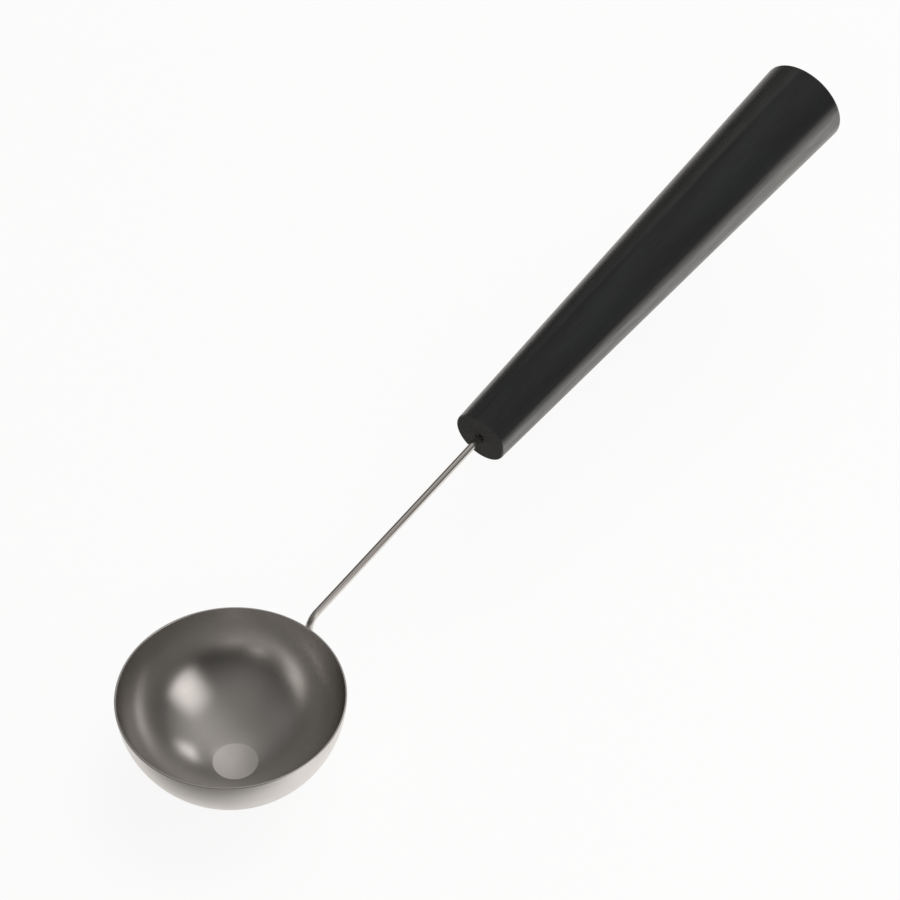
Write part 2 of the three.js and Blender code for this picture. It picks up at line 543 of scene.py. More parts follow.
@dataclass(frozen=True)
class DrawnWire(Finish):
    """Stainless steel wire, drawn bright through a die.

    It gives the eye a clear stretched highlight and fine lines along its length, which follow its bend. Real
    die lines are hundredths of a millimetre wide, so they are drawn coarser. The bent end, which was welded
    and then cleaned, is duller: between dull_from and dull_to, measured from the tang's end, its roughness
    grows by dull_gain.
    """

    name: ClassVar[str] = "bright_drawn_stainless_wire"
    bright: str = "#e5e2e0"
    dull: str = "#d4d1cf"
    line_width: float = 0.6
    line_length: float = 60.0
    line_height: float = 0.0002
    span: tuple[float, float] = (0.3, 0.7)
    smoothest: float = 0.1
    roughest: float = 0.15
    dull_from: float = 160.0
    dull_to: float = 170.0
    dull_gain: float = 0.34

    def shader(self, tree: Tree) -> Socket:
        """Die lines give the tone, the bump and the roughness, to which the bent end's dullness is added.

        Args:
            tree: the material's nodes.

        Returns:
            The shader.
        """
        local = add_node(tree, "Attribute", attribute_name=LOCAL)["Vector"]
        lines = grains(tree, local, (self.line_length, self.line_width, self.line_width), Detail.SOME)
        drawn = add_node(tree, "MapRange", (lines, *self.span, self.smoothest, self.roughest))[0]
        along = add_node(tree, "SeparateXYZ", (local,))["X"]
        cleaned = add_node(tree, "MapRange", (along, self.dull_from * MM, self.dull_to * MM))[0]
        roughness = add_node(tree, "Math", (cleaned, self.dull_gain, drawn), operation="MULTIPLY_ADD")[0]
        inputs = {
            "Base Color": two_tones(tree, lines, self.bright, self.dull, self.span),
            "Metallic": 1.0,
            "Roughness": roughness,
            "Normal": add_node(tree, "Bump", {"Height": lines, "Distance": self.line_height * MM})[0],
        }
        return add_node(tree, "BsdfPrincipled", inputs)[0]


@dataclass(frozen=True)
class WeldMetal(Finish):
    """Stainless weld metal, pickled clean after welding.

    It gives the eye a duller grey than the wire, with a fine pitted grain and a trace of straw colour left in
    patches.
    """

    name: ClassVar[str] = "pickled_stainless_weld_metal"
    clean: str = "#c4beb5"
    straw: str = "#a3967f"
    straw_span: tuple[float, float] = (0.4, 0.75)
    pit_size: float = 0.35
    pit_depth: float = 0.02
    pit_strength: float = 0.8
    pit_span: tuple[float, float] = (0.3, 0.7)
    smoothest: float = 0.3
    roughest: float = 0.46

    def shader(self, tree: Tree) -> Socket:
        """Pits give the tone, the roughness and the bump.

        Args:
            tree: the material's nodes.

        Returns:
            The shader.
        """
        place = add_node(tree, "TexCoord")["Object"]
        pits = grains(tree, place, (self.pit_size,) * 3, Detail.FINE)
        depth = {"Height": pits, "Strength": self.pit_strength, "Distance": self.pit_depth * MM}
        inputs = {
            "Base Color": two_tones(tree, pits, self.clean, self.straw, self.straw_span),
            "Metallic": 1.0,
            "Roughness": add_node(tree, "MapRange", (pits, *self.pit_span, self.smoothest, self.roughest))[0],
            "Normal": add_node(tree, "Bump", depth)[0],
        }
        return add_node(tree, "BsdfPrincipled", inputs)[0]


@dataclass(frozen=True)
class BlackWood(Finish):
    """Turned hardwood, stained black through and finished with a satin lacquer.

    It gives the eye a near-black surface whose growth rings show only as faint streaks along the grip and
    arcs on its ends, and a sheen at glancing angles that the pores break up into streaks. The end grain
    drank the lacquer, so the ends are matt.
    """

    length: float
    name: ClassVar[str] = "black_stained_lacquered_wood"
    dark: str = "#242525"
    pale: str = "#2a2c2c"
    end_dark: str = "#3d3d3c"
    end_pale: str = "#444443"
    end_roughness: float = 0.9
    end_depth: float = 0.8
    pith_across: float = 34.0
    pith_side: float = 21.0
    ring_spacing: float = 3.2
    ring_share: float = 0.14
    waver_length: float = 120.0
    waver_width: float = 30.0
    waver: float = 2.5
    pore_length: float = 18.0
    pore_width: float = 0.55
    pore_depth: float = 0.012
    pore_strength: float = 0.5
    pore_span: tuple[float, float] = (0.35, 0.65)
    grain_span: tuple[float, float] = (0.2, 0.8)
    smoothest: float = 0.4
    roughest: float = 0.5
    ior: float = 1.5
    specular: float = 0.12
    lacquer_starts: float = 0.265
    lacquer_full: float = 0.465
    lacquer_thins: float = 0.64
    lacquer_at_edge: float = 0.75
    lacquer_in_pores: float = 0.7
    lacquer_roughness: float = 0.2
    lacquer_ior: float = 2.6

    def growth_rings(self, tree: Tree, local: Socket) -> Socket:
        """A sine of the distance from a pith outside the grip, which wavers slowly along the length.

        Args:
            tree: the material's nodes.
            local: the point in the grip's own coordinates, in metres.

        Returns:
            The wave, from -1 to 1, one period to each ring.
        """
        slow = grains(tree, local, (self.waver_length, self.waver_width, self.waver_width), Detail.SOME)
        pith = {
            "Vector": local,
            "Location": (0.0, self.pith_across / self.ring_spacing, self.pith_side / self.ring_spacing),
            "Scale": (0.0, *per_mm(self.ring_spacing, self.ring_spacing)),
        }
        from_pith = add_node(tree, "Mapping", pith)[0]
        distance = add_node(tree, "VectorMath", (from_pith,), operation="LENGTH")["Value"]
        wavered = (slow, self.waver / self.ring_spacing, distance)
        ring = add_node(tree, "Math", wavered, operation="MULTIPLY_ADD")[0]
        angle = add_node(tree, "Math", (ring, TURN), operation="MULTIPLY")[0]
        return add_node(tree, "Math", (angle,), operation="SINE")[0]

    def side_share(self, tree: Tree, local: Socket) -> Socket:
        """Tells side from end grain by the distance to the grip's middle, half the length at either end.

        Args:
            tree: the material's nodes.
            local: the point in the grip's own coordinates, in metres.

        Returns:
            1 on the side, falling to 0 over end_depth at both ends.
        """
        half = 0.5 * self.length
        along = add_node(tree, "SeparateXYZ", (local,))["X"]
        from_middle = add_node(tree, "Math", (along, half * MM), operation="SUBTRACT")[0]
        distance = add_node(tree, "Math", (from_middle,), operation="ABSOLUTE")[0]
        return add_node(tree, "MapRange", (distance, half * MM, (half - self.end_depth) * MM))[0]

    def lacquer(self, tree: Tree, pores: Socket, side: Socket) -> Socket:
        """How clear the lacquer's mirror is: a product of four shares, from 0 to 1.

        It is none face on and full at a glancing angle, a little less at the very edge and over the pores,
        and none on the end grain.

        Args:
            tree: the material's nodes.
            pores: the pores' pattern.
            side: 1 on the side and 0 on the end grain.

        Returns:
            The product.
        """
        glance = add_node(tree, "LayerWeight")["Facing"]
        share = add_node(tree, "MapRange", (glance, self.lacquer_starts, self.lacquer_full))[0]
        edge = (glance, self.lacquer_full, self.lacquer_thins, 1.0, self.lacquer_at_edge)
        thinned = add_node(tree, "MapRange", edge)[0]
        filled = add_node(tree, "MapRange", (pores, *self.pore_span, self.lacquer_in_pores, 1.0))[0]
        for other in (thinned, filled, side):
            share = add_node(tree, "Math", (share, other), operation="MULTIPLY")[0]
        return share

    def shader(self, tree: Tree) -> Socket:
        """Pores, short streaks along the grain, and growth rings give tone and roughness, and pores the bump.

        Args:
            tree: the material's nodes.

        Returns:
            The shader.
        """
        local = add_node(tree, "Attribute", attribute_name=LOCAL)["Vector"]
        rings = self.growth_rings(tree, local)
        pores = grains(tree, local, (self.pore_length, self.pore_width, self.pore_width), Detail.FINE)
        grain = add_node(tree, "Math", (rings, self.ring_share, pores), operation="MULTIPLY_ADD")[0]
        side = self.side_share(tree, local)
        side_colour = two_tones(tree, grain, self.dark, self.pale, self.grain_span)
        end_colour = two_tones(tree, grain, self.end_dark, self.end_pale, self.grain_span)
        rough = add_node(tree, "MapRange", (grain, *self.grain_span, self.roughest, self.smoothest))[0]
        roughness = {SHARE: side, NUMBER_A: self.end_roughness, NUMBER_B: rough}
        colours = {SHARE: side, COLOUR_A: end_colour, COLOUR_B: side_colour}
        depth = {"Height": pores, "Strength": self.pore_strength, "Distance": self.pore_depth * MM}
        inputs = {
            "Base Color": add_node(tree, "Mix", colours, data_type="RGBA")[MIXED_COLOUR],
            "Roughness": add_node(tree, "Mix", roughness, data_type="FLOAT")[0],
            "Normal": add_node(tree, "Bump", depth)[0],
            "IOR": self.ior,
            "Specular IOR Level": self.specular,
            "Coat Weight": self.lacquer(tree, pores, side),
            "Coat Roughness": self.lacquer_roughness,
            "Coat IOR": self.lacquer_ior,
        }
        return add_node(tree, "BsdfPrincipled", inputs)[0]


@dataclass(frozen=True)
class CuredAdhesive(Finish):
    """Two-part epoxy adhesive, cured dark in the bore.

    It gives the eye a dark brown, half-glossy ring with small trapped bubbles.
    """

    name: ClassVar[str] = "cured_epoxy_adhesive"
    dark: str = "#171513"
    pale: str = "#262320"
    bubble_size: float = 0.5
    bubble_depth: float = 0.04
    bubble_strength: float = 0.6
    smoothest: float = 0.5
    roughest: float = 0.65
    ior: float = 1.55

    def shader(self, tree: Tree) -> Socket:
        """The distance to the nearest bubble gives the tone, the roughness and the bump.

        Args:
            tree: the material's nodes.

        Returns:
            The shader.
        """
        place = add_node(tree, "TexCoord")["Object"]
        spacing = {"Vector": place, "Scale": per_mm(self.bubble_size)[0]}
        bubbles = add_node(tree, "TexVoronoi", spacing)["Distance"]
        depth = {"Height": bubbles, "Strength": self.bubble_strength, "Distance": self.bubble_depth * MM}
        inputs = {
            "Base Color": two_tones(tree, bubbles, self.dark, self.pale),
            "Roughness": add_node(tree, "MapRange", (bubbles, 0.0, 1.0, self.smoothest, self.roughest))[0],
            "Normal": add_node(tree, "Bump", depth)[0],
            "IOR": self.ior,
        }
        return add_node(tree, "BsdfPrincipled", inputs)[0]


@dataclass(frozen=True)
class Flag:
    """Painted shade beside the ladle, with a soft straight edge, which only reflections show; no sheet lies
    there.

    Attributes:
        azimuth: the direction in which it lies, in degrees from +X towards +Y.
        starts: distance from the bowl's axis, in that direction, at which its edge starts.
        full: distance at which it is fully grey.
        depth: share of white that it takes there.
    """

    azimuth: float
    starts: float
    full: float
    depth: float

    def left(self, tree: Tree, place: Socket) -> Socket:
        """The share of white that it leaves: 1 less depth times a smooth step of the distance.

        Args:
            tree: the paper's nodes.
            place: the point on the paper, in metres.

        Returns:
            The share.
        """
        ahead = tuple(toward(self.azimuth, 0.0))
        distance = add_node(tree, "VectorMath", (place, ahead), operation="DOT_PRODUCT")["Value"]
        # Painted shade: the share of white left in reflections falls over a soft straight edge.
        edge = (distance, self.starts * MM, self.full * MM, 1.0, 1.0 - self.depth)
        return add_node(tree, "MapRange", edge, interpolation_type="SMOOTHSTEP")[0]


@dataclass(frozen=True)
class WhitePaper(Finish):
    """White background paper, rolled out as floor and low wall.

    To the camera, and in reflections, part of its white is its own, so that it stays white beyond the lamps.
    The rest is lit, so that it keeps the ladle's shadow. In reflections it is a warmer white. Shade is painted
    into it for every ray but the camera's: it turns grey far from the ladle, and in reflections two painted
    shades give polished metal and lacquer a darker side.

    Attributes:
        paper: the colour of the paper.
        own_white: share of its white that needs no lamp, to the camera.
        mirrored_white: the same share in reflections.
        white_to: distance from the bowl at which painted shade starts to grey its reflection and the light it
            bounces.
        grey_from: distance from which that painted shade is full.
        grey: how white the painted shade leaves its reflection there.
        flags: painted shade in its reflections, where no sheet lies.
    """

    name: ClassVar[str] = "white_background_paper"
    paper: str = "#f6f6f5"
    own_white: float = 0.9
    mirrored_white: float = 0.6
    white_to: float = 2500.0
    grey_from: float = 4500.0
    grey: float = 0.35
    flags: tuple[Flag, ...] = (Flag(203.5, 25.0, 75.0, 0.72), Flag(52.0, 300.0, 800.0, 0.6))

    def shader(self, tree: Tree) -> Socket:
        """Mixes lit paper with paper that glows, by what kind of ray looks at it.

        Args:
            tree: the material's nodes.

        Returns:
            The shader.
        """
        path = add_node(tree, "LightPath")
        seen = path["Is Camera Ray"]
        either = (path["Is Glossy Ray"], path["Is Transmission Ray"])
        mirrored = add_node(tree, "Math", either, operation="MAXIMUM")[0]
        place = add_node(tree, "TexCoord")["Object"]
        far = add_node(tree, "VectorMath", (place,), operation="LENGTH")["Value"]
        # Painted shade: every ray but the camera's sees the paper grow grey far from the ladle.
        level = add_node(tree, "MapRange", (far, self.white_to * MM, self.grey_from * MM, 1.0, self.grey))[0]
        # Painted shade that only reflections see: each darkens the paper's reflected white beside the ladle.
        flagged = level
        for flag in self.flags:
            flagged = add_node(tree, "Math", (flagged, flag.left(tree, place)), operation="MULTIPLY")[0]
        plain = add_node(tree, "Math", (level, seen), operation="MAXIMUM")[0]
        whites = {SHARE: mirrored, NUMBER_A: plain, NUMBER_B: flagged}
        strength = add_node(tree, "Mix", whites, data_type="FLOAT")[0]
        white = two_tones(tree, mirrored, WHITE, WARM_WHITE)
        # The lit paper's colour carries the same painted shade as its glow.
        lit = add_node(tree, "BsdfDiffuse", {"Color": two_tones(tree, strength, BLACK, self.paper)})[0]
        glow = add_node(tree, "Emission", {"Color": white, "Strength": strength})[0]
        own = add_node(tree, "Math", (seen, self.own_white), operation="MULTIPLY")[0]
        share = add_node(tree, "Math", (mirrored, self.mirrored_white, own), operation="MULTIPLY_ADD")[0]
        return add_node(tree, "MixShader", (share, lit, glow))[0]


# The ladle


@dataclass(frozen=True)
class Bowl:
    """The pressed bowl: a spherical shell cut just below its middle, with a small flat floor.

    Inside, the floor is dished by floor_dish. The drawn wall is floor_gain thicker up to gain_to degrees from
    the axis and wall_loss thinner at loss_at degrees.
    """

    rim_radius: float = 45.0
    rim_below_centre: float = 1.9
    wall: float = 0.8
    floor_radius: float = 9.0
    floor_dish: float = 0.36
    floor_round: float = 1.2
    floor_gain: float = 0.4
    wall_loss: float = 0.36
    gain_to: float = 25.0
    loss_at: float = 65.0
    base_round: float = 2.5
    lip_round: float = 0.3
    sides: int = 192
    wall_steps: int = 64
    floor_steps: int = 16
    base_steps: int = 8
    lip_steps: int = 6
    edge_steps: int = 4
    finish: SatinSteel = SatinSteel()

    @property
    def outer(self) -> float:
        """Radius of the outer sphere."""
        return math.hypot(self.rim_radius, self.rim_below_centre)

    @property
    def inner(self) -> float:
        """Radius of the inner sphere."""
        return self.outer - self.wall

    @property
    def centre(self) -> float:
        """Height of the spheres' centre, which puts the inner floor one wall above the base."""
        return math.sqrt(self.inner**2 - self.floor_radius**2) + self.wall

    @property
    def rim(self) -> float:
        """Height of the lip."""
        return self.centre - self.rim_below_centre

    def drawn(self, points: Array) -> Array:
        """Gives the inside the uneven wall that drawing leaves, thick round the floor and thin half way up.

        A point moves along the sphere's radius. The wall keeps its gain up to one angle from the axis, eases
        from there to its loss at a second angle, and eases back to nothing at the lip.

        Args:
            points: radius and height of the even inside, from the lip to the axis.

        Returns:
            The moved points.
        """
        arm = points - (0.0, self.centre)
        reach = np.hypot(arm[:, 0], arm[:, 1])
        angle = np.degrees(np.arccos(-arm[:, 1] / reach))
        thinner = ease((angle - self.gain_to) / (self.loss_at - self.gain_to))
        back = ease((angle - self.loss_at) / (angle[0] - self.loss_at))
        shift = (self.floor_gain + self.wall_loss) * thinner - self.floor_gain - self.wall_loss * back
        return points + arm * (shift / reach)[:, None]

    def round_at(self, reach: float, height: float) -> tuple[float, tuple[float, float]]:
        """Angle and place of a rounding's centre, at a height and a reach from the spheres' centre."""
        angle = math.asin((height - self.centre) / reach)
        return angle, (reach * math.cos(angle), height)

    def profile(self) -> Array:
        """Radius and height from the middle of the base, up the outside, over the lip and down to the floor.

        Each rounding is a circle that touches both of its neighbours: its centre lies the two radii apart
        from, or together with, the sphere's centre, and its own radius from the flat.

        Returns:
            Points of the profile, which starts and ends on the axis.
        """
        lip_height = self.rim - self.lip_round
        base_angle, base_at = self.round_at(self.outer - self.base_round, self.base_round)
        out_angle, out_at = self.round_at(self.outer - self.lip_round, lip_height)
        in_angle, in_at = self.round_at(self.inner + self.lip_round, lip_height)
        floor_angle, floor_at = self.round_at(self.inner - self.floor_round, self.wall + self.floor_round)
        middle = (0.0, self.centre)
        floor = straight((floor_at[0], self.wall), (0.0, self.wall), self.floor_steps)
        floor[:, 1] -= self.floor_dish * (1.0 - (floor[:, 0] / floor_at[0]) ** 2)
        inside = chain(
            arc(middle, self.inner, in_angle, floor_angle, self.wall_steps),
            arc(floor_at, self.floor_round, floor_angle, -QUARTER, self.edge_steps),
            floor,
        )
        return chain(
            straight((0.0, 0.0), (base_at[0], 0.0), self.base_steps),
            arc(base_at, self.base_round, -QUARTER, base_angle, self.edge_steps),
            arc(middle, self.outer, base_angle, out_angle, self.wall_steps),
            arc(out_at, self.lip_round, out_angle, QUARTER, self.lip_steps),
            straight((out_at[0], self.rim), (in_at[0], self.rim), self.edge_steps),
            arc(in_at, self.lip_round, QUARTER, math.pi + in_angle, self.lip_steps),
            self.drawn(inside),
        )

    def build(self) -> None:
        """Makes the bowl's mesh and dresses it."""
        grid = revolve(self.profile(), self.sides, UPRIGHT, Ends.POLES, by_profile=True)
        piece = write_piece("bowl_shell", grid, self.finish.material())
        place_piece(piece, Slot.BOWL_STEEL, "bowl")


@dataclass(frozen=True)
class Handle:
    """The grip's axis, with the tang in it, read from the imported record."""

    neck: Array
    along: Array
    grip: float = 229.0

    @classmethod
    def from_record(cls, record: dict) -> "Handle":
        """Reads the axis from the mount on the grip's thick end.

        Args:
            record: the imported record.

        Returns:
            The handle's line.
        """
        mount = next(m for m in record["mounts"] if m["name"] == "grip_butt")
        along = unit(np.asarray(mount["axis"], dtype=float))
        butt = np.asarray(mount["pos_m"], dtype=float) / MM
        return cls(butt - cls.grip * along, along)

    @property
    def axis(self) -> Axis:
        """The line as an axis that starts at the grip's end face."""
        return Axis.in_plane(self.neck, self.along)


@dataclass(frozen=True)
class Stem:
    """The bent wire: a tang in the grip, a straight shank, a bend behind the lip, and a leg down the bowl."""

    bowl: Bowl
    handle: Handle
    radius: float = 1.5
    rise: float = 0.9
    bend_radius: float = 6.0
    leg_drop: float = 14.0
    tang: float = 60.0
    fit: float = 0.3
    end_round: float = 0.35
    line_steps: int = 32
    bend_steps: int = 48
    leg_steps: int = 40
    end_steps: int = 4
    sides: int = 40
    finish: DrawnWire = DrawnWire()

    @property
    def leg_radius(self) -> float:
        """Distance of the leg's axis from the bowl's centre."""
        return self.bowl.outer + self.fit + self.radius

    @property
    def middle(self) -> Array:
        """The bowl's centre."""
        return np.array([0.0, 0.0, self.bowl.centre])

    @property
    def shank(self) -> Axis:
        """The shank's line, from over the lip's outer edge to the middle of the grip's end face."""
        over_lip = np.array([self.bowl.rim_radius, 0.0, self.bowl.rim + self.rise])
        return Axis.in_plane(over_lip, unit(self.handle.neck - over_lip))

    @property
    def bend_start(self) -> float:
        """Distance along the shank's line at which the bend starts.

        There, a circle of the bend's radius below the line touches the circle of the leg's axis from outside.

        Returns:
            The distance, from over the lip.
        """
        shank = self.shank
        below = shank.origin - self.bend_radius * shank.across - self.middle
        run = float(below @ shank.along)
        reach = self.leg_radius + self.bend_radius
        return -run + math.sqrt(run**2 - float(below @ below) + reach**2)

    def leg_angle(self, below_lip: float) -> float:
        """Angle of a point of the leg's axis that far below the lip, seen from the bowl's centre."""
        return math.asin((self.bowl.rim - below_lip - self.bowl.centre) / self.leg_radius)

    def path(self) -> tuple[Array, Array]:
        """The wire's axis, from the tang's end to the leg's lower end: two lines, an arc and an arc.

        Returns:
            Points and unit directions square to the axis in its plane.
        """
        shank, tang = self.shank, self.handle.axis
        bend_at = shank.origin + self.bend_start * shank.along - self.bend_radius * shank.across
        bend_from = math.atan2(shank.across[2], shank.across[0])
        leg_top = math.atan2(bend_at[2] - self.bowl.centre, bend_at[0])
        length = float((tang.origin - shank.origin) @ shank.along)
        in_grip = straight((self.tang, 0.0), (0.0, 0.0), self.line_steps)[:-1, :1]
        in_air = straight((length, 0.0), (self.bend_start, 0.0), self.line_steps)[:-1, :1]
        bend_ray = rays_at(np.linspace(bend_from, math.pi + leg_top, self.bend_steps + 1))
        leg_ray = rays_at(np.linspace(leg_top, self.leg_angle(self.leg_drop), self.leg_steps + 1)[1:])
        points = [
            tang.origin + in_grip * tang.along,
            shank.origin + in_air * shank.along,
            bend_at + self.bend_radius * bend_ray,
            self.middle + self.leg_radius * leg_ray,
        ]
        square = [
            np.broadcast_to(tang.across, points[0].shape),
            np.broadcast_to(shank.across, points[1].shape),
            bend_ray,
            -leg_ray,
        ]
        return np.concatenate(points), np.concatenate(square)

    def grid(self) -> Grid:
        """Sweeps a circle along the wire's axis.

        At each end its radius falls by a quarter circle of end_round and then to nothing, which rounds the
        cut edge.

        Returns:
            The wire's grid.
        """
        points, square = self.path()
        angles = np.linspace(0.0, QUARTER, self.end_steps + 1)
        inset = np.concatenate([[0.0], self.end_round * (1.0 - np.cos(angles))])
        shrunk = np.concatenate([[0.0], self.radius - self.end_round * (1.0 - np.sin(angles))])
        start = points[0] + inset[:, None] * unit(points[1] - points[0])
        stop = points[-1] + inset[::-1, None] * unit(points[-2] - points[-1])
        gone = lengths_along(points)
        keep = (gone > self.end_round) & (gone < gone[-1] - self.end_round)
        centres = np.concatenate([start, points[keep], stop])
        rows = (len(inset), 1)
        across = np.concatenate([np.tile(square[0], rows), square[keep], np.tile(square[-1], rows)])
        radius = np.concatenate([shrunk, np.full(int(keep.sum()), self.radius), shrunk[::-1]])
        aside = np.array([0.0, 1.0, 0.0])
        return sweep(centres, across, aside, radius[:, None], lengths_along(centres), self.sides, Ends.POLES)

    def build(self) -> None:
        """Makes the wire's mesh and dresses it."""
        piece = write_piece("stem_wire", self.grid(), self.finish.material())
        place_piece(piece, Slot.WIRE_STEEL, "stem")


@dataclass(frozen=True)
class Welds:
    """The two fillet welds between the stem's leg and the bowl's wall."""

    stem: Stem
    radius: float = 1.4
    length: float = 11.0
    below_lip: float = 7.5
    ripples: int = 9
    ripple_height: float = 0.09
    ripple_bow: float = 0.09
    clear: float = 0.02
    rows: int = 121
    columns: int = 40
    finish: WeldMetal = WeldMetal()

    def grid(self, side: Side) -> Grid:
        """A bead in the corner between wall and wire.

        Seen from the bead's own axis, the surface lies as far out as its round, the wall or the wire,
        whichever comes first. The round is radius (1 - t^4)^0.5 for t from -1 to 1 along the bead, and its
        ripples are a bowed wave of t. The wall is a flat below the axis, and the wire a circle beside it.

        Args:
            side: which side of the stem.

        Returns:
            The bead's grid.
        """
        bowl, stem = self.stem.bowl, self.stem
        share = np.sin(np.linspace(-QUARTER, QUARTER, self.rows))
        outward = rays_at(stem.leg_angle(self.below_lip) + share * 0.5 * self.length / bowl.outer)
        aside = np.array([0.0, float(side.value), 0.0])
        gap = stem.radius + stem.fit
        centres = stem.middle + (bowl.outer + stem.fit) * outward + gap * aside
        across, up = np.cos(around(self.columns)), np.sin(around(self.columns))
        bow = share[:, None] + self.ripple_bow * up
        wave = np.abs(np.sin(QUARTER * self.ripples * (bow + 1.0)))
        body = np.sqrt(np.maximum(1.0 - share**4, 0.0))[:, None]
        bead = body * (self.radius - self.ripple_height * (1.0 - wave))
        wall = (stem.fit - self.clear) / np.maximum(-up, NEARLY_LEVEL)
        ahead = stem.radius * up - gap * across
        clear_radius = stem.radius + self.clear
        under = ahead**2 - (gap**2 + stem.radius**2 - clear_radius**2)
        meets = (under > 0.0) & (ahead > 0.0)
        wire = np.where(meets, ahead - np.sqrt(np.maximum(under, 0.0)), np.inf)
        reach = np.minimum(bead, np.minimum(wall, wire))
        return sweep(centres, aside, outward, reach, 0.5 * self.length * share, self.columns, Ends.POLES)

    def build(self) -> None:
        """Makes both beads and dresses them."""
        material = self.finish.material()
        for side in Side:
            word = side.name.lower()
            piece = write_piece(f"weld_bead_{word}", self.grid(side), material)
            place_piece(piece, Slot.WELD_STEEL, f"weld_{word}")


@dataclass(frozen=True)
class Grip:
    """The turned wooden grip: a straight taper with flat ends and a blind bore for the tang."""

    handle: Handle
    neck_radius: float = 11.95
    butt_radius: float = 19.7
    edge_round: float = 0.8
    bore_radius: float = 2.5
    bore_depth: float = 61.0
    bore_round: float = 0.3
    sides: int = 160
    side_steps: int = 60
    butt_steps: int = 16
    neck_steps: int = 12
    edge_steps: int = 8
    bore_steps: int = 12
    mouth_steps: int = 6
    bottom_steps: int = 4

    @property
    def finish(self) -> BlackWood:
        """The wood, whose end grain lies at both ends of the grip."""
        return BlackWood(self.handle.grip)

    def profile(self) -> Array:
        """Radius and distance from the neck, from the bore's bottom out over the neck and on to the butt.

        The edge roundings touch the flat ends and the tapered side, whose normal leans back by the taper.

        Returns:
            Points of the profile, which starts and ends on the axis.
        """
        length = self.handle.grip
        slope = (self.butt_radius - self.neck_radius) / length
        taper = math.atan(slope)
        inset = self.edge_round / math.cos(taper)
        neck_at = (self.neck_radius + slope * self.edge_round - inset, self.edge_round)
        butt_height = length - self.edge_round
        butt_at = (self.neck_radius + slope * butt_height - inset, butt_height)
        mouth_at = (self.bore_radius + self.bore_round, self.bore_round)
        bottom = (self.bore_radius, self.bore_depth)
        neck_edge = arc(neck_at, self.edge_round, -QUARTER, -taper, self.edge_steps)
        butt_edge = arc(butt_at, self.edge_round, -taper, QUARTER, self.edge_steps)
        return chain(
            straight((0.0, self.bore_depth), bottom, self.bottom_steps),
            straight(bottom, (self.bore_radius, self.bore_round), self.bore_steps),
            arc(mouth_at, self.bore_round, -math.pi, -QUARTER, self.mouth_steps),
            straight((mouth_at[0], 0.0), (neck_at[0], 0.0), self.neck_steps),
            neck_edge,
            straight(tuple(neck_edge[-1]), tuple(butt_edge[0]), self.side_steps),
            butt_edge,
            straight((butt_at[0], length), (0.0, length), self.butt_steps),
        )

    def build(self) -> None:
        """Makes the grip's mesh and dresses it."""
        grid = revolve(self.profile(), self.sides, self.handle.axis, Ends.POLES)
        piece = write_piece("grip_wood", grid, self.finish.material())
        place_piece(piece, Slot.BLACK_WOOD, "grip")


@dataclass(frozen=True)
class Bond:
    """The ring of adhesive that fills the bore round the tang."""

    stem: Stem
    grip: Grip
    recess: float = 0.6
    sag: float = 0.25
    clear: float = 0.02
    end: float = 60.7
    sides: int = 64
    mouth_steps: int = 12
    side_steps: int = 8
    end_steps: int = 4
    finish: CuredAdhesive = CuredAdhesive()

    def profile(self) -> Array:
        """Radius and distance from the neck, once round the ring.

        At the mouth the adhesive creeps up the wire and the bore: the depth is recess + sag sin(pi t), for t
        from the wire to the bore.

        Returns:
            Points of the closed profile.
        """
        low, high = self.stem.radius + self.clear, self.grip.bore_radius - self.clear
        share = np.linspace(0.0, 1.0, self.mouth_steps + 1)
        depth = self.recess + self.sag * np.sin(math.pi * share)
        mouth = np.stack([low + share * (high - low), depth], axis=1)
        ring = chain(
            mouth,
            straight((high, self.recess), (high, self.end), self.side_steps),
            straight((high, self.end), (low, self.end), self.end_steps),
            straight((low, self.end), (low, self.recess), self.side_steps),
        )
        return ring[:-1]

    def build(self) -> None:
        """Makes the ring's mesh and dresses it."""
        grid = revolve(self.profile(), self.sides, self.stem.handle.axis, Ends.JOINED)
        piece = write_piece("bond_ring", grid, self.finish.material())
        place_piece(piece, Slot.ADHESIVE, "bond_sleeve")


# The studio


